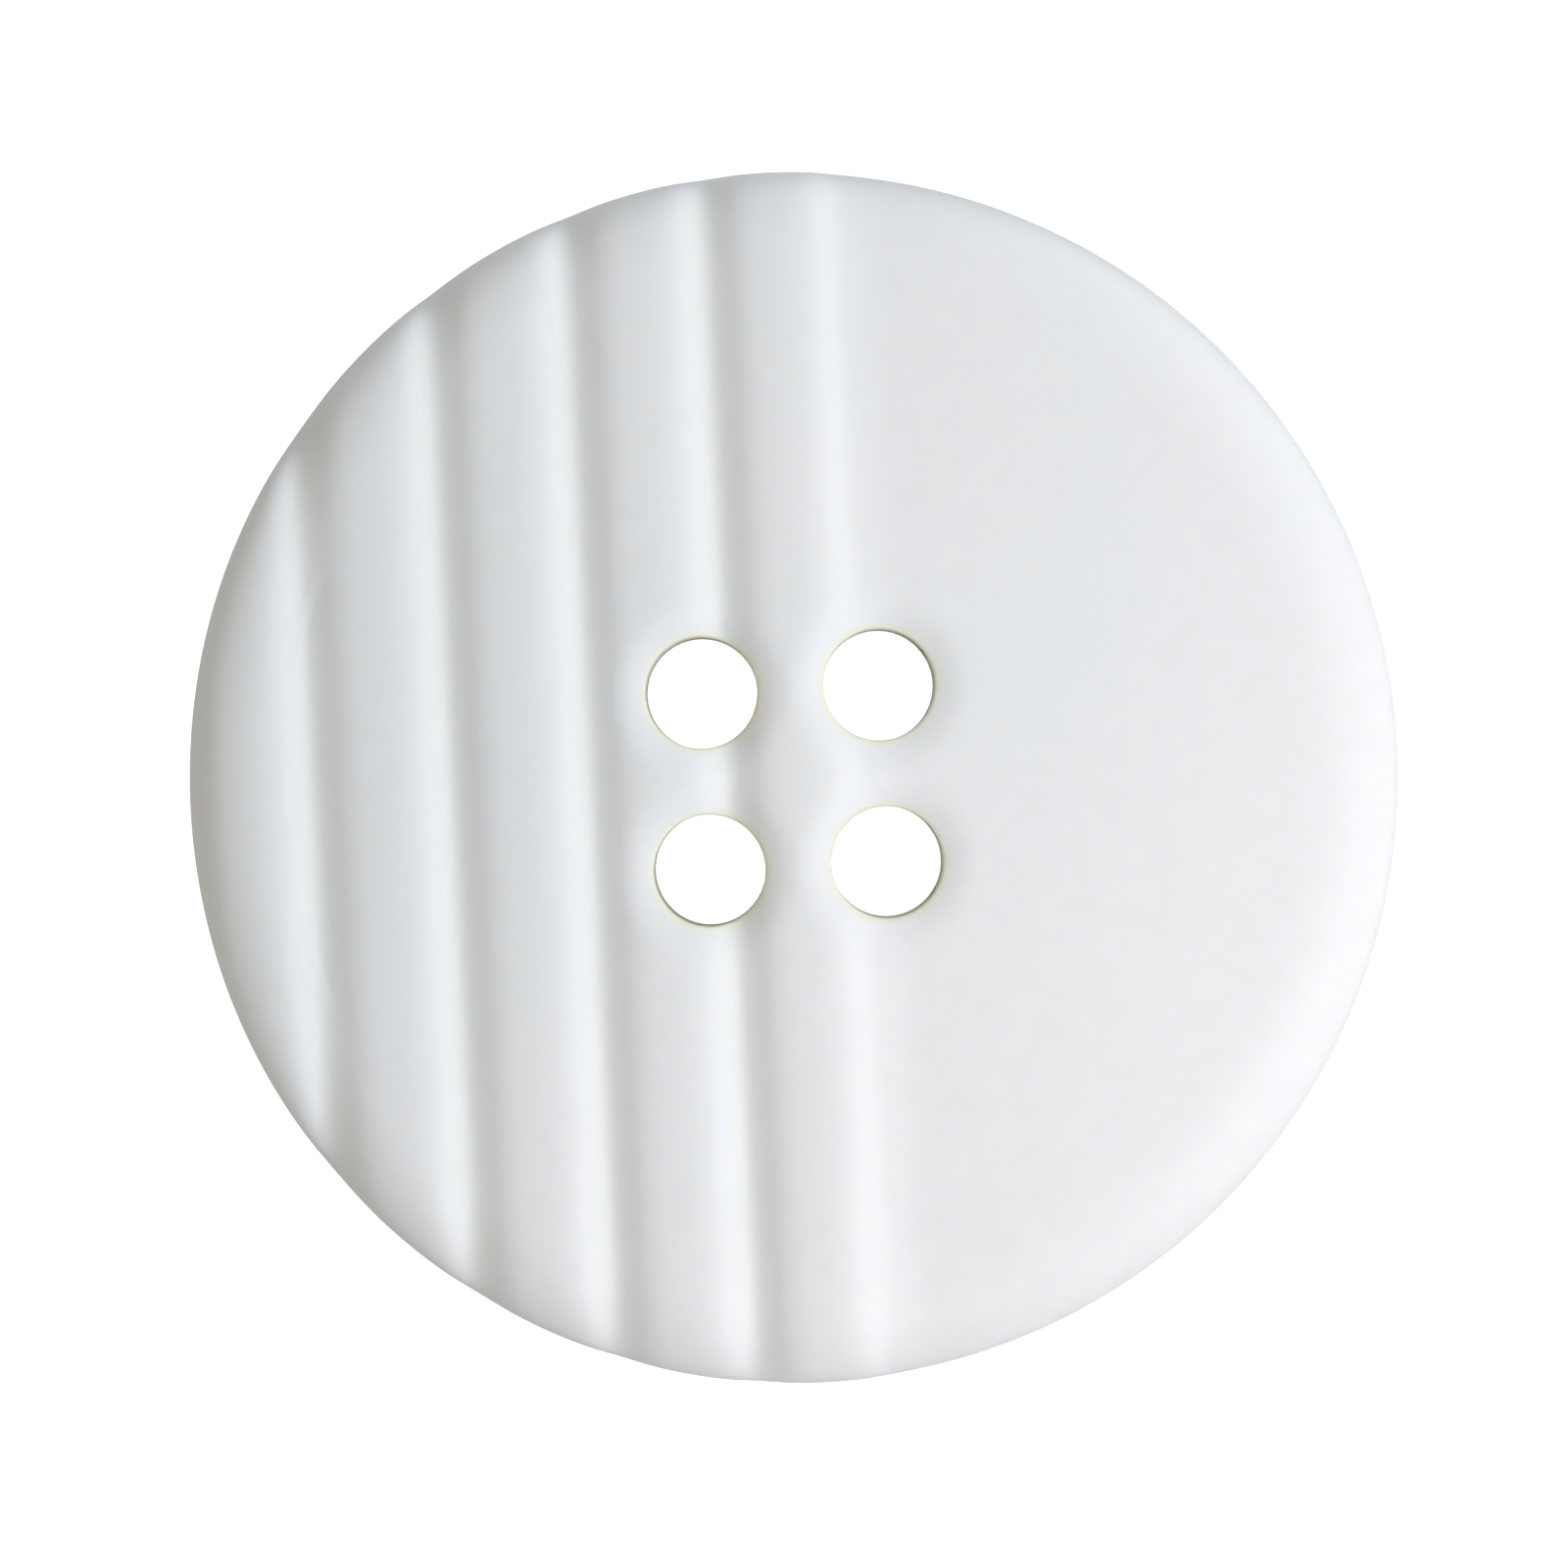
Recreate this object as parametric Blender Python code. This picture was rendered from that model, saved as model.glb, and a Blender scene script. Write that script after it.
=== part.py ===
"""Sew-through button: one moulded disc with four thread holes and five straight ribs on one side.

Metres, +Z out of the front face. The origin is the centre of the flat back face, and the ribs run
along Y on the -X side.
"""

import math

import bmesh
import bpy
from mathutils import Matrix

# Disc
DIAMETER = 0.025
FIELD_THICKNESS = 0.0031
RIM_WIDTH = 0.002
RIM_DROP = 0.0011
RIM_POWER = 2.5
BACK_EDGE_RADIUS = 0.0007

# Ribs. Each has the same section, given by its slope at shares of the pitch, counted from the valley
# on its -X side. The last rib runs out into the smooth field with slopes of its own
RIB_COUNT = 5
RIB_PITCH = 0.00285
RIB_FOOT_X = 0.00155
RIB_SLOPES = (
    (0.0, 0.0),
    (0.06, 0.42),
    (0.17, 0.58),
    (0.23, 0.36),
    (0.35, 0.11),
    (0.56, 0.0),
    (0.66, -0.1),
    (0.75, -0.24),
    (0.83, -0.56),
    (0.9, -0.74),
    (0.96, -0.3),
)
FOOT_SLOPES = ((1.0, -0.2), (1.3, 0.0))

# Thread holes
HOLE_DIAMETER = 0.0023
HOLE_SPACING = 0.00366
MOUTH_RADIUS = 0.0006
BACK_MOUTH_RADIUS = 0.0003
CUTTER_OVERRUN = 0.001

# Mesh fineness
DISC_STEPS = 96
HOLE_STEPS = 32
RIM_STEPS = 6
BACK_EDGE_STEPS = 3
MOUTH_STEPS = 4
SMOOTH_ANGLE = math.radians(35)
TINY = 1e-6

RADIUS = DIAMETER / 2
WALL_TOP = FIELD_THICKNESS - RIM_DROP


def clear_scene():
    for obj in list(bpy.data.objects):
        bpy.data.objects.remove(obj, do_unlink=True)


def arc(centre, radius, start, end, steps):
    """Points (r, z) on an arc between two angles, both ends included."""
    turn = (end - start) / steps
    angles = [start + turn * step for step in range(steps + 1)]
    return [(centre[0] + radius * math.cos(angle), centre[1] + radius * math.sin(angle)) for angle in angles]


def rim_profile():
    """Points (r, z) over the rim, a quarter of a superellipse from the field down to the wall."""
    points = []
    for step in range(RIM_STEPS + 1):
        angle = math.pi / 2 * step / RIM_STEPS
        out = math.sin(angle) ** (2 / RIM_POWER)
        up = max(math.cos(angle), 0) ** (2 / RIM_POWER)
        points.append((RADIUS - RIM_WIDTH * (1 - out), WALL_TOP + RIM_DROP * up))
    return points


def disc_profile():
    """The outer side of the disc, from the edge of the front field down to the flat back."""
    back_edge = arc(
        (RADIUS - BACK_EDGE_RADIUS, BACK_EDGE_RADIUS), BACK_EDGE_RADIUS, 0, -math.pi / 2, BACK_EDGE_STEPS
    )
    return rim_profile() + back_edge


def hole_profile(crest):
    """The outer side of a hole cutter: a rounded mouth at the crests, the bore, and the back mouth."""
    bore = HOLE_DIAMETER / 2
    above = (bore + MOUTH_RADIUS, crest + CUTTER_OVERRUN)
    below = (bore + BACK_MOUTH_RADIUS, -CUTTER_OVERRUN)
    mouth_centre = (bore + MOUTH_RADIUS, crest - MOUTH_RADIUS)
    mouth = arc(mouth_centre, MOUTH_RADIUS, math.pi / 2, math.pi, MOUTH_STEPS)
    back_centre = (bore + BACK_MOUTH_RADIUS, BACK_MOUTH_RADIUS)
    back_mouth = arc(back_centre, BACK_MOUTH_RADIUS, math.pi, 3 * math.pi / 2, MOUTH_STEPS)
    return [above, *mouth, *back_mouth, below]


def turned(profile, steps):
    """A closed bmesh turned about Z from an open profile, with flat ends."""
    bm = bmesh.new()
    points = [bm.verts.new((r, 0, z)) for r, z in profile]
    edges = [bm.edges.new(pair) for pair in zip(points, points[1:])]
    bmesh.ops.spin(
        bm,
        geom=points + edges,
        axis=(0, 0, 1),
        cent=(0, 0, 0),
        angle=2 * math.pi,
        steps=steps,
        use_merge=True,
    )
    bmesh.ops.holes_fill(bm, edges=[edge for edge in bm.edges if edge.is_boundary], sides=0)
    bmesh.ops.recalc_face_normals(bm, faces=bm.faces)
    return bm


def relief_points():
    """(x, height above the field) down the rib section, from -X to the field."""
    slopes = []
    for rib in range(RIB_COUNT, 0, -1):
        valley = RIB_FOOT_X - rib * RIB_PITCH
        slopes += [(valley + share * RIB_PITCH, slope) for share, slope in RIB_SLOPES]
    slopes += [(RIB_FOOT_X + (share - 1) * RIB_PITCH, slope) for share, slope in FOOT_SLOPES]
    points = [(slopes[-1][0], 0.0)]
    for (left, first), (right, last) in zip(slopes[-2::-1], slopes[:0:-1]):
        height = points[0][1] - (right - left) * (first + last) / 2
        points.insert(0, (left, height))
    return points


def rib_relief(x, points):
    """Height of the section at x, on the straight lines between its points."""
    for (left, low), (right, high) in zip(points, points[1:]):
        if x <= right:
            return low + (high - low) * (x - left) / (right - left)
    return 0.0


def raise_ribs(bm, points):
    """Scores the front of the disc along the section's points, and lifts it to the relief."""
    for x in (x for x, _ in points if x > -RADIUS):
        front = [face for face in bm.faces if min(v.co.z for v in face.verts) > WALL_TOP - TINY]
        touched = {edge for face in front for edge in face.edges}
        corners = {vert for face in front for vert in face.verts}
        bmesh.ops.bisect_plane(
            bm,
            geom=front + list(touched) + list(corners),
            dist=TINY,
            plane_co=(x, 0, 0),
            plane_no=(1, 0, 0),
        )
    for vert in bm.verts:
        if vert.co.z > WALL_TOP - TINY:
            vert.co.z += rib_relief(vert.co.x, points)
    bmesh.ops.triangulate(bm, faces=bm.faces)


def plastic_material():
    material = bpy.data.materials.new("white_plastic")
    material.use_nodes = True
    shader = material.node_tree.nodes["Principled BSDF"]
    shader.inputs["Base Color"].default_value = (0.86, 0.87, 0.88, 1)
    shader.inputs["Roughness"].default_value = 0.35
    shader.inputs["Metallic"].default_value = 0
    shader.inputs["IOR"].default_value = 1.5
    return material


def object_from(bm, name):
    mesh = bpy.data.meshes.new(name)
    bm.to_mesh(mesh)
    bm.free()
    mesh.shade_smooth()
    mesh.set_sharp_from_angle(angle=SMOOTH_ANGLE)
    obj = bpy.data.objects.new(name, mesh)
    bpy.context.scene.collection.objects.link(obj)
    return obj


def hole_places():
    half = HOLE_SPACING / 2
    return [(x, y) for x in (-half, half) for y in (-half, half)]


def bore_holes(body, crest):
    """Cuts the thread holes with four copies of one turned cutter."""
    bm = turned(hole_profile(crest), HOLE_STEPS)
    bmesh.ops.transform(bm, matrix=Matrix.Rotation(math.pi / HOLE_STEPS, 4, "Z"), verts=bm.verts)
    first = object_from(bm, "hole_cutter_1")
    for number, (x, y) in enumerate(hole_places(), start=1):
        cutter = first
        if number > 1:
            cutter = bpy.data.objects.new(f"hole_cutter_{number}", first.data)
            bpy.context.scene.collection.objects.link(cutter)
        cutter.location = (x, y, 0)
        cutter.hide_render = True
        cutter.display_type = "WIRE"
        cut = body.modifiers.new(f"thread_hole_{number}", "BOOLEAN")
        cut.operation = "DIFFERENCE"
        cut.solver = "EXACT"
        cut.object = cutter


def make_button():
    points = relief_points()
    bm = turned(disc_profile(), DISC_STEPS)
    raise_ribs(bm, points)
    body = object_from(bm, "button_body")
    body.data.materials.append(plastic_material())
    bore_holes(body, FIELD_THICKNESS + max(height for _, height in points))
    body.modifiers.new("even_shading", "WEIGHTED_NORMAL").keep_sharp = True


clear_scene()
make_button()
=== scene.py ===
"""Looks of the sew-through button: a fine mesh of the same design, its plastic, and the studio."""

import bisect
import math

import bmesh
import bpy
from mathutils import Euler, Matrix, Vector
from mathutils.geometry import delaunay_2d_cdt


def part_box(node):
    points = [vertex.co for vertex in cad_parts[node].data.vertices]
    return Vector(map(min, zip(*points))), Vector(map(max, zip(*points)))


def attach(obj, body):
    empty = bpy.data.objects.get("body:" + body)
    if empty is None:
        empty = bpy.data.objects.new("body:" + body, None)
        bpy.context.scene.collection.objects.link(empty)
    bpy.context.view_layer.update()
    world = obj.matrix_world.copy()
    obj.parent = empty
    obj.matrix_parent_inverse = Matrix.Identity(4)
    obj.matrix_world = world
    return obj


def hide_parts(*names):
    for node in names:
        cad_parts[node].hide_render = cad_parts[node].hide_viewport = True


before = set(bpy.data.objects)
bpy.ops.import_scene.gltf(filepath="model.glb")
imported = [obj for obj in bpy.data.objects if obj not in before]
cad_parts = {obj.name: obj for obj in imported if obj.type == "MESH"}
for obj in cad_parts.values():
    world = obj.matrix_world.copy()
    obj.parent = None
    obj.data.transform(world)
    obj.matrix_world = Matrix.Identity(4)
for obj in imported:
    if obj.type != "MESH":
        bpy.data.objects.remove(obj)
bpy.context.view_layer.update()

MM = 0.001

# The disc, from the CAD node's box
LOW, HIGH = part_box("button_body")
RADIUS = (HIGH.x - LOW.x) / 2
CREST_Z = HIGH.z
RIM_WIDTH = 2.0 * MM
RIM_DROP = 1.1 * MM
RIM_POWER = 2.5
BACK_EDGE_RADIUS = 0.7 * MM

# Ribs, counted from the smooth field towards -X. Each has the same section, given by its slope at
# shares of the pitch from the valley on its -X side
RIB_COUNT = 5
RIB_PITCH = 2.85 * MM
RIB_FOOT_X = 1.55 * MM
RIB_SLOPES = (
    (0.0, 0.0),
    (0.06, 0.42),
    (0.17, 0.58),
    (0.23, 0.36),
    (0.35, 0.11),
    (0.56, 0.0),
    (0.66, -0.1),
    (0.75, -0.24),
    (0.83, -0.56),
    (0.9, -0.74),
    (0.96, -0.3),
)
FOOT_SLOPES = ((1.0, -0.2), (1.3, 0.0))

# Thread holes: a bore, a small round at its edge, and a shallow dish round that. The dish is a cone
# next to the bore and fades out from there
BORE_RADIUS = 1.15 * MM
HOLE_OFFSET = 3.66 * MM / 2
HOLE_EDGE_RADIUS = 0.06 * MM
DISH_SLOPE = 0.34
DISH_CONE = 0.25 * MM
DISH_WIDTH = 0.8 * MM
BACK_MOUTH_RADIUS = 0.3 * MM

# Mesh fineness
CIRCLE_STEPS = 512
HOLE_STEPS = 96
RIM_RINGS = 20
HOLE_EDGE_RINGS = 6
DISH_RINGS = 6
DISH_RING_REACH = 0.6 * MM
STATIONS_PER_RIB = 28
WALL_ROWS = (0.34, 0.5, 1.0)  # each row's share of the height that is left
EDGE_ROWS = 6
CROSS_LINE_GAP = 0.3 * MM
LINE_END_GAP = 0.05 * MM
GRAZING = 0.95  # a line further out than this share of a circle's radius only grazes it
JUST_INSIDE = 0.998
ON_CIRCLE = 0.05 * MM  # a point this close to a circle is on it

# Studio. Each light: place, size, brightness on a white surface that faces it, and colour
LIGHTS = {
    "key": ((0.045, -0.026, 0.066), 0.045, 0.615, (0.99, 1, 1.01)),
    "side": ((0.05, 0.068, 0.042), 0.04, 0.23, (0.97, 1, 1.02)),
    "warm_bounce": ((-0.09, 0, 0.025), 0.05, 0.08, (1, 0.7, 0.25)),
}
SKY_BRIGHTNESS = 0.378
FLOOR_RADIUS = 1.5
FLOOR_GLOW = 0.97
FLOOR_GREYS = ((0.69, 0.69, 0.69), (0.7, 0.7, 0.7), (0.71, 0.71, 0.71))

# Camera, straight above the front
LENS = 200
SENSOR_WIDTH = 36
BUTTON_SHARE_OF_FRAME = 0.775
CAMERA_ROLL = math.radians(-2.7)
CAMERA_OFFSET = (-0.0066, -0.0041, 0)  # as shares of the frame

# Plastic
COOL_WHITE = (0.782, 0.812, 0.84)
NEUTRAL_WHITE = (0.797, 0.813, 0.833)
PINKISH_WHITE = (0.82, 0.811, 0.832)
CLOUD_WHITE = (0.77, 0.78, 0.785)
# Painted shade: the warm tint put into grooves and other sheltered places
GROOVE_SHADE_TINT = (0.805, 0.808, 0.735)
# Painted shade: the warm tint put into the bores and round their edges
BORE_SHADE_TINT = (0.8, 0.8, 0.69)
DUST = (0.36, 0.3, 0.26)
MOTTLE_SIZE = 8 * MM
CLOUD_SIZE = 0.6 * MM
# how far the painted groove shade looks for shelter
GROOVE_SHADE_REACH = 0.6 * MM
BORE_SHADE_REACH = (0.03 * MM, 0.17 * MM)  # out from the bore: all painted bore shade, and none
SATIN_SIZE = 2.2 * MM
SATIN_ROUGHNESS = (0.5, 0.6)
RIPPLE_SIZE, RIPPLE_DEPTH = 1.6 * MM, 0.0012 * MM
GRAIN_SIZE, GRAIN_DEPTH, GRAIN_ROUGHNESS = 0.05 * MM, 0.00012 * MM, 0.03
SCRATCH_SETS = ((0.9 * MM, 0.35), (0.7 * MM, 2.2))  # size of the streaks, and their turn about Z
SCRATCH_PATCH = 4 * MM
SCRATCH_DEPTH, SCRATCH_ROUGHNESS = 0.0006 * MM, 0.12
SPECK_GAP, SPECK_DEPTH = 2.6 * MM, 0.004 * MM
TURNING_PITCH, TURNING_DEPTH = 0.9 * MM, 0.0015 * MM


def relief_knots():
    """(x, slope, height) where the section's slope changes its rate, across all the ribs."""
    slopes = []
    for number in range(RIB_COUNT, 0, -1):
        valley = RIB_FOOT_X - number * RIB_PITCH
        slopes += [(valley + share * RIB_PITCH, slope) for share, slope in RIB_SLOPES]
    slopes += [(RIB_FOOT_X + (share - 1) * RIB_PITCH, slope) for share, slope in FOOT_SLOPES]
    height = 0.0
    knots = [(*slopes[-1], height)]
    for (left, first), (right, last) in zip(slopes[-2::-1], slopes[:0:-1]):
        height -= (right - left) * (first + last) / 2
        knots.insert(0, (left, first, height))
    return knots


KNOTS = relief_knots()


def relief(x):
    """Height of the ribs above the field: parabolas that join the section's slopes."""
    if x >= KNOTS[-1][0]:
        return 0.0
    index = bisect.bisect([knot[0] for knot in KNOTS], x) - 1
    left, first, height = KNOTS[index]
    right, last, _ = KNOTS[index + 1]
    along = x - left
    return height + along * (first + (last - first) * along / (right - left) / 2)


FIELD_Z = CREST_Z - max(height for _, _, height in KNOTS)


def disc_height(r):
    """The turned front without its ribs: a flat field and a rim that is part of a superellipse."""
    inset = max(r - (RADIUS - RIM_WIDTH), 0.0) / RIM_WIDTH
    return FIELD_Z - RIM_DROP * (1 - max(1 - inset**RIM_POWER, 0.0) ** (1 / RIM_POWER))


def hole_centres():
    sides = (-HOLE_OFFSET, HOLE_OFFSET)
    return [Vector((x, y)) for x in sides for y in sides]


def mouth_drop(x, y):
    """How far a hole's dish and rounded edge lie below the surface round them."""
    drop = 0.0
    for centre in hole_centres():
        away = max((Vector((x, y)) - centre).length - BORE_RADIUS, 0.0)
        fade = DISH_WIDTH - DISH_CONE
        if away < DISH_CONE:
            drop += DISH_SLOPE * (DISH_CONE - away + fade / 2)
        elif away < DISH_WIDTH:
            drop += DISH_SLOPE * (DISH_WIDTH - away) ** 2 / (2 * fade)
        if away < HOLE_EDGE_RADIUS:
            reach = 1 - away / HOLE_EDGE_RADIUS
            drop += HOLE_EDGE_RADIUS * (1 - math.sqrt(1 - reach * reach))
    return drop


def front_height(x, y):
    return disc_height(min(math.hypot(x, y), RADIUS)) + relief(x) - mouth_drop(x, y)


def rib_lines():
    """The x of every line along the ribs, with one in each valley, and on past the holes."""
    step = RIB_PITCH / STATIONS_PER_RIB
    first = -int((RADIUS + RIB_FOOT_X) / step)
    last = int((HOLE_OFFSET + BORE_RADIUS + DISH_WIDTH - RIB_FOOT_X) / step)
    return [RIB_FOOT_X + step * index for index in range(first, last + 1)]


def crossing_lines(centre_x, radius, lines):
    """The lines that cross a circle, without those that only graze it."""
    return [x for x in lines if abs(x - centre_x) < GRAZING * radius]


def circle(centre, radius, steps, lines):
    """A closed run of points on a circle, with one wherever a rib line crosses it."""
    step = 2 * math.pi / steps
    points = {}
    for x in crossing_lines(centre[0], radius, lines):
        away = math.sqrt(radius * radius - (x - centre[0]) ** 2)
        for y in (away, -away):
            points[math.atan2(y, x - centre[0]) % (2 * math.pi)] = Vector((x, centre[1] + y))
    crossings = list(points)
    for index in range(steps):
        angle = step * (index + 0.5)
        if all(abs(angle - crossing) > step for crossing in crossings):
            x, y = radius * math.cos(angle), radius * math.sin(angle)
            points[angle] = Vector((centre[0] + x, centre[1] + y))
    return [points[angle] for angle in sorted(points)]


class Plan:
    """Points and edges of the front seen from above, in millimetres."""

    def __init__(self):
        self.points = []
        self.edges = []

    def add(self, points, closed):
        first = len(self.points)
        self.points += [point / MM for point in points]
        last = len(self.points) - 1
        self.edges += [(index, index + 1) for index in range(first, last)]
        if closed:
            self.edges.append((last, first))

    def triangles(self):
        points, _, faces, *_ = delaunay_2d_cdt(self.points, self.edges, [], 0, 1e-5, False)
        return [point * MM for point in points], faces


def rim_radii():
    turns = [math.pi / 2 * step / RIM_RINGS for step in range(RIM_RINGS + 1)]
    return [RADIUS - RIM_WIDTH * (1 - math.sin(turn) ** (2 / RIM_POWER)) for turn in turns]


def mouth_radii():
    turns = [math.pi / 2 * step / HOLE_EDGE_RINGS for step in range(HOLE_EDGE_RINGS)]
    edge = [BORE_RADIUS + HOLE_EDGE_RADIUS * (1 - math.cos(turn)) for turn in turns]
    dish = DISH_RING_REACH - HOLE_EDGE_RADIUS
    start = BORE_RADIUS + HOLE_EDGE_RADIUS
    return edge + [start + dish * step / DISH_RINGS for step in range(DISH_RINGS + 1)]


def line_pieces(place, along):
    """The stretches of a straight line that are inside the rim and clear of the hole mouths. The
    line runs along axis 0 or 1, at place on the other axis."""
    reach = RADIUS - RIM_WIDTH - LINE_END_GAP
    half = math.sqrt(reach * reach - place * place)
    cuts = [-half]
    mouth = BORE_RADIUS + DISH_RING_REACH + LINE_END_GAP
    for centre in sorted(hole_centres(), key=lambda centre: centre[along]):
        away = abs(place - centre[1 - along])
        if away < mouth:
            gap = math.sqrt(mouth * mouth - away * away)
            cuts += [centre[along] - gap, centre[along] + gap]
    cuts.append(half)
    pieces = zip(cuts[::2], cuts[1::2])
    return [(start, end) for start, end in pieces if end - start > LINE_END_GAP]


def front_plan():
    plan = Plan()
    lines = rib_lines()
    for radius in rim_radii():
        plan.add(circle((0, 0), radius, CIRCLE_STEPS, lines), closed=True)
    for centre in hole_centres():
        for radius in mouth_radii():
            plan.add(circle(centre, radius, HOLE_STEPS, lines), closed=True)
    inner = RADIUS - RIM_WIDTH - 2 * LINE_END_GAP
    for x in (x for x in lines if abs(x) < inner):
        for start, end in line_pieces(x, along=1):
            plan.add([Vector((x, start)), Vector((x, end))], closed=False)
    rows = int(inner * GRAZING / CROSS_LINE_GAP)
    for row in range(-rows, rows + 1):
        y = CROSS_LINE_GAP * (row + 0.5)
        for start, end in line_pieces(y, along=0):
            plan.add([Vector((start, y)), Vector((end, y))], closed=False)
    return plan.triangles()


def in_a_hole(points):
    middle = sum(points, Vector((0, 0))) / len(points)
    return any((middle - centre).length < BORE_RADIUS * JUST_INSIDE for centre in hole_centres())


def boundary_loops(bm):
    """The open edges, split into the outline's and each hole's."""
    open_edges = [edge for edge in bm.edges if edge.is_boundary]
    rings = [(Vector((0, 0)), RADIUS), *((centre, BORE_RADIUS) for centre in hole_centres())]
    loops = []
    for centre, radius in rings:
        aways = {edge: (edge.verts[0].co.xy - centre).length - radius for edge in open_edges}
        loops.append((centre, [edge for edge, away in aways.items() if abs(away) < ON_CIRCLE]))
    return loops


def extrude_row(bm, edges, place):
    """Extrudes a loop of edges, and puts each new point where place() says."""
    made = bmesh.ops.extrude_edge_only(bm, edges=edges)["geom"]
    for vert in (item for item in made if isinstance(item, bmesh.types.BMVert)):
        vert.co = place(vert.co)
    return [item for item in made if isinstance(item, bmesh.types.BMEdge)]


def wall_rows(bm, edges, centre):
    """The wall below a loop: straight down, then round the edge onto the flat back."""
    outward = centre.length < MM
    wall_radius = RADIUS if outward else BORE_RADIUS
    edge_radius = BACK_EDGE_RADIUS if outward else -BACK_MOUTH_RADIUS
    straight_end = abs(edge_radius)
    for share in WALL_ROWS:

        def down(co, share=share):
            return Vector((co.x, co.y, co.z + (straight_end - co.z) * share))

        edges = extrude_row(bm, edges, down)
    for row in range(1, EDGE_ROWS + 1):
        turn = math.pi / 2 * row / EDGE_ROWS
        radius = wall_radius - edge_radius * (1 - math.cos(turn))
        z = straight_end * (1 - math.sin(turn))

        def inward(co, radius=radius, z=z):
            flat = (co.xy - centre).normalized() * radius + centre
            return Vector((flat.x, flat.y, z))

        edges = extrude_row(bm, edges, inward)
    return edges


def fine_mesh():
    points, faces = front_plan()
    bm = bmesh.new()
    verts = [bm.verts.new((p.x, p.y, front_height(p.x, p.y))) for p in points]
    for face in faces:
        if not in_a_hole([points[index] for index in face]):
            bm.faces.new([verts[index] for index in face])
    bmesh.ops.delete(bm, geom=[v for v in bm.verts if not v.link_faces], context="VERTS")
    ends = []
    for centre, edges in boundary_loops(bm):
        ends += wall_rows(bm, edges, centre)
    bmesh.ops.triangle_fill(bm, edges=ends, use_beauty=True)
    bmesh.ops.recalc_face_normals(bm, faces=bm.faces)
    mesh = bpy.data.meshes.new("button")
    bm.to_mesh(mesh)
    bm.free()
    mesh.shade_smooth()
    return mesh


class Nodes:
    """A material's nodes, which all read the object's own coordinates."""

    def __init__(self, name):
        self.material = bpy.data.materials.new(name)
        self.material.use_nodes = True
        self.tree = self.material.node_tree
        self.shader = self.tree.nodes["Principled BSDF"]
        self.place = self.tree.nodes.new("ShaderNodeTexCoord").outputs["Object"]

    def add(self, kind, inputs=(), **settings):
        """Makes a node. An input is a value or the socket that feeds it."""
        node = self.tree.nodes.new(kind)
        for name, value in settings.items():
            setattr(node, name, value)
        for name, value in dict(inputs).items():
            if isinstance(value, bpy.types.NodeSocket):
                self.tree.links.new(value, node.inputs[name])
            else:
                node.inputs[name].default_value = value
        return node

    def noise(self, size, detail=2.0, stretch=(1, 1, 1), turn=0.0):
        """Noise whose features are about size across, stretched and turned about Z."""
        mapping = self.add(
            "ShaderNodeMapping",
            {"Vector": self.place, "Scale": stretch, "Rotation": (0, 0, turn)},
        )
        made = self.add(
            "ShaderNodeTexNoise",
            {"Vector": mapping.outputs[0], "Scale": 1 / size, "Detail": detail},
        )
        return made.outputs["Fac"]

    def span(self, value, low, high, to_low, to_high):
        """Takes a value from one range to another, and stops at its ends."""
        made = self.add(
            "ShaderNodeMapRange",
            {
                "Value": value,
                "From Min": low,
                "From Max": high,
                "To Min": to_low,
                "To Max": to_high,
            },
        )
        return made.outputs[0]

    def math(self, operation, first, second, third=0.0):
        inputs = {0: first, 1: second, 2: third}
        return self.add("ShaderNodeMath", inputs, operation=operation).outputs[0]

    def ramp(self, value, colours):
        """A colour ramp through evenly spaced colours, between shares 0.35 and 0.65."""
        made = self.add("ShaderNodeValToRGB", {"Fac": value})
        stops = made.color_ramp.elements
        while len(stops) < len(colours):
            stops.new(0.5)
        for index, colour in enumerate(colours):
            stops[index].position = 0.35 + 0.3 * index / (len(colours) - 1)
            stops[index].color = (*colour, 1)
        return made.outputs["Color"]

    def tint(self, base, colour, amount):
        mix = self.add("ShaderNodeMix", {"Factor": amount}, data_type="RGBA")
        self.tree.links.new(base, mix.inputs["A"])
        mix.inputs["B"].default_value = (*colour, 1)
        return mix.outputs["Result"]

    def feed(self, name, value):
        self.tree.links.new(value, self.shader.inputs[name])


def scratches(nodes, size, turn):
    """A few hairlines: 1 on a line, 0 off it."""
    streaks = nodes.noise(size, detail=1.0, stretch=(1, 0.03, 1), turn=turn)
    near_middle = nodes.math("ABSOLUTE", nodes.math("SUBTRACT", streaks, 0.5), 0.0)
    lines = nodes.span(near_middle, 0.0, 0.006, 1.0, 0.0)
    patches = nodes.span(nodes.noise(SCRATCH_PATCH, turn=turn + 1), 0.56, 0.66, 0.0, 1.0)
    return nodes.math("MULTIPLY", lines, patches)


def specks(nodes):
    """Sparse dust specks in the casting, 0.1 mm across."""
    cells = nodes.add("ShaderNodeTexVoronoi", {"Vector": nodes.place, "Scale": 1 / SPECK_GAP})
    dots = nodes.span(cells.outputs["Distance"], 0.015, 0.03, 1.0, 0.0)
    choice = nodes.add("ShaderNodeSeparateColor", {"Color": cells.outputs["Color"]}).outputs[0]
    return nodes.math("MULTIPLY", dots, nodes.span(choice, 0.84, 0.85, 0.0, 1.0))


def painted_groove_shade(nodes):
    """Painted shade: a warm tint where the surface is sheltered, 1 deep in a groove, 0 in the open.
    """
    open_sky = nodes.add("ShaderNodeAmbientOcclusion", {"Distance": GROOVE_SHADE_REACH}, samples=8)
    return nodes.span(open_sky.outputs["AO"], 0.8, 0.97, 1.0, 0.0)


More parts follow.
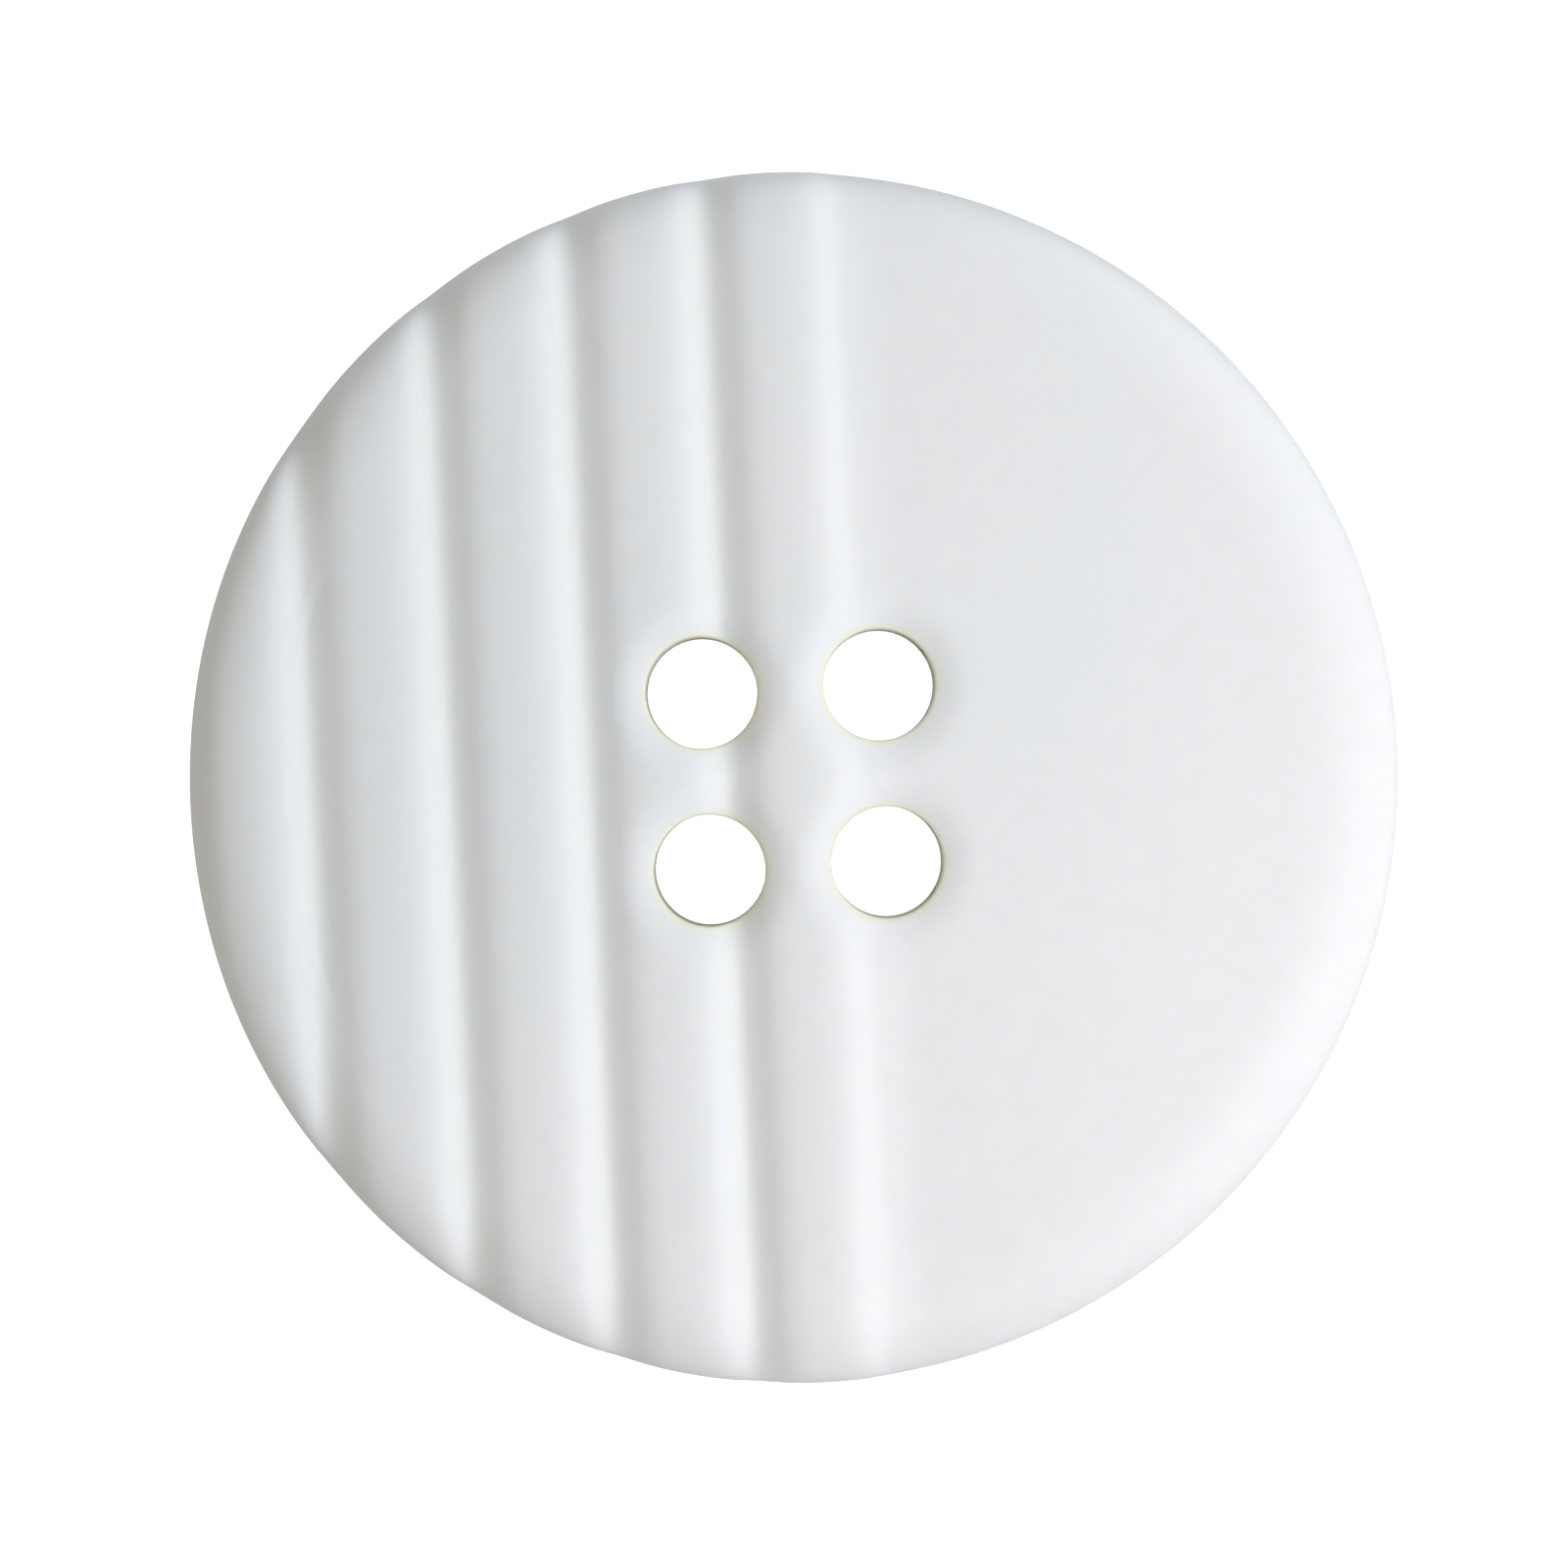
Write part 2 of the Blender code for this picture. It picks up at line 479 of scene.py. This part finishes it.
def painted_bore_shade(nodes, sides):
    """Painted shade: a warm tint, 1 in the bores and 0 a little way out."""
    square = []
    for side in ("X", "Y"):
        out = nodes.math("SUBTRACT", nodes.math("ABSOLUTE", sides[side], 0.0), HOLE_OFFSET)
        square.append(nodes.math("MULTIPLY", out, out))
    away = nodes.math("SQRT", nodes.math("ADD", *square), 0.0)
    full, none = (BORE_RADIUS + out for out in BORE_SHADE_REACH)
    return nodes.span(away, full, none, 1.0, 0.0)


def turning_marks(nodes):
    """Fine rings left by the lathe on the back, which faces down."""
    rings = nodes.add(
        "ShaderNodeTexWave",
        {"Vector": nodes.place, "Scale": 1 / TURNING_PITCH, "Distortion": 0.4, "Detail": 1.0},
        wave_type="RINGS",
        rings_direction="Z",
    )
    faces = nodes.add("ShaderNodeNewGeometry").outputs["True Normal"]
    down = nodes.add("ShaderNodeSeparateXYZ", {0: faces}).outputs["Z"]
    return nodes.math("MULTIPLY", rings.outputs["Fac"], nodes.span(down, -0.99, -0.9, 1.0, 0.0))


def plastic():
    """White casting plastic, tumbled to a satin finish and faintly translucent, with painted shade
    in its grooves and bores.
    """
    nodes = Nodes("white_plastic")
    sides = nodes.add("ShaderNodeSeparateXYZ", {0: nodes.place}).outputs
    across = nodes.math("SUBTRACT", sides["X"], sides["Y"])
    drift = nodes.span(across, -RADIUS, RADIUS, 0.1, 0.4)
    mottle = nodes.math("MULTIPLY_ADD", nodes.noise(MOTTLE_SIZE, detail=1.0), 0.5, drift)
    colour = nodes.ramp(mottle, (COOL_WHITE, NEUTRAL_WHITE, PINKISH_WHITE))
    clouds = nodes.span(nodes.noise(CLOUD_SIZE, detail=3.0), 0.4, 0.6, 0.0, 0.25)
    colour = nodes.tint(colour, CLOUD_WHITE, clouds)
    # painted shade: a warm tint deep in the grooves
    colour = nodes.tint(colour, GROOVE_SHADE_TINT, painted_groove_shade(nodes))
    # painted shade: a warm tint in the bores
    colour = nodes.tint(colour, BORE_SHADE_TINT, painted_bore_shade(nodes, sides))
    dust = specks(nodes)
    colour = nodes.tint(colour, DUST, dust)
    nodes.feed("Base Color", colour)
    lines = nodes.math("MAXIMUM", *(scratches(nodes, size, turn) for size, turn in SCRATCH_SETS))
    grain = nodes.noise(GRAIN_SIZE, detail=2.0)
    satin = nodes.span(nodes.noise(SATIN_SIZE, detail=4.0), 0.3, 0.7, *SATIN_ROUGHNESS)
    grained = nodes.span(grain, 0.3, 0.7, -GRAIN_ROUGHNESS, GRAIN_ROUGHNESS)
    scratched = nodes.math("MULTIPLY", lines, SCRATCH_ROUGHNESS)
    nodes.feed("Roughness", nodes.math("ADD", nodes.math("ADD", satin, grained), scratched))
    ripple = nodes.noise(RIPPLE_SIZE, detail=1.0)
    normal = None
    for height, depth in (
        (ripple, RIPPLE_DEPTH),
        (grain, GRAIN_DEPTH),
        (lines, -SCRATCH_DEPTH),
        (dust, -SPECK_DEPTH),
        (turning_marks(nodes), TURNING_DEPTH),
    ):
        inputs = {"Height": height, "Distance": abs(depth)}
        bump = nodes.add("ShaderNodeBump", inputs, invert=depth < 0)
        if normal:
            nodes.tree.links.new(normal, bump.inputs["Normal"])
        normal = bump.outputs[0]
    nodes.feed("Normal", normal)
    nodes.shader.inputs["Specular IOR Level"].default_value = 0.35
    nodes.shader.inputs["Subsurface Weight"].default_value = 0.5
    nodes.shader.inputs["Subsurface Radius"].default_value = (1.0, 0.85, 0.65)
    nodes.shader.inputs["Subsurface Scale"].default_value = 0.4 * MM
    return nodes.material


def area_light(name, place, size, brightness, colour):
    """A round soft box that faces the button. It lights a white surface facing it to brightness."""
    data = bpy.data.lights.new(name, "AREA")
    data.shape = "DISK"
    data.size = size
    data.energy = brightness * math.pi**2 * Vector(place).length_squared
    data.color = colour
    lamp = bpy.data.objects.new(name, data)
    lamp.location = place
    lamp.rotation_euler = (-Vector(place)).to_track_quat("-Z", "Y").to_euler()
    lamp.visible_camera = False
    bpy.context.scene.collection.objects.link(lamp)


def make_floor():
    """A pale floor that the camera sees as white, also where the button shades it."""
    bpy.ops.mesh.primitive_circle_add(vertices=64, radius=FLOOR_RADIUS, fill_type="NGON")
    floor = bpy.context.object
    floor.name = "floor"
    nodes = Nodes("floor")
    fibres = nodes.noise(0.4 * MM, detail=4.0, stretch=(1, 0.3, 1))
    nodes.feed("Base Color", nodes.ramp(fibres, FLOOR_GREYS))
    seen = nodes.add("ShaderNodeLightPath").outputs["Is Camera Ray"]
    nodes.feed("Emission Strength", nodes.math("MULTIPLY", seen, FLOOR_GLOW))
    nodes.shader.inputs["Emission Color"].default_value = (1, 1, 1, 1)
    nodes.shader.inputs["Roughness"].default_value = 1
    nodes.shader.inputs["Specular IOR Level"].default_value = 0
    floor.data.materials.append(nodes.material)


def make_world():
    """Even light from all round, and white where the camera sees past the floor."""
    world = bpy.data.worlds.new("studio")
    world.use_nodes = True
    tree = world.node_tree
    tree.nodes["Background"].inputs["Color"].default_value = (1, 1, 1, 1)
    path = tree.nodes.new("ShaderNodeLightPath")
    strength = tree.nodes.new("ShaderNodeMapRange")
    strength.inputs["To Min"].default_value = SKY_BRIGHTNESS
    tree.links.new(path.outputs["Is Camera Ray"], strength.inputs["Value"])
    tree.links.new(strength.outputs[0], tree.nodes["Background"].inputs["Strength"])
    bpy.context.scene.world = world


def make_camera():
    data = bpy.data.cameras.new("camera")
    data.lens = LENS
    data.sensor_width = SENSOR_WIDTH
    data.clip_start = 0.001
    data.clip_end = 10
    roll = Euler((0, 0, CAMERA_ROLL))
    across = 2 * RADIUS / BUTTON_SHARE_OF_FRAME
    height = across * LENS / SENSOR_WIDTH
    offset = Vector(CAMERA_OFFSET) * across
    offset.rotate(roll)
    camera = bpy.data.objects.new("camera", data)
    camera.location = Vector((0, 0, height + FIELD_Z)) + offset
    camera.rotation_euler = roll
    bpy.context.scene.collection.objects.link(camera)
    bpy.context.scene.camera = camera


make_camera()
make_floor()
make_world()
for light_name, settings in LIGHTS.items():
    area_light(light_name, *settings)
bpy.context.scene.view_settings.view_transform = "Standard"

button = bpy.data.objects.new("button", fine_mesh())
bpy.context.scene.collection.objects.link(button)
button.data.materials.append(plastic())
button.modifiers.new("even_shading", "WEIGHTED_NORMAL")
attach(button, "root")
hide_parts("button_body")
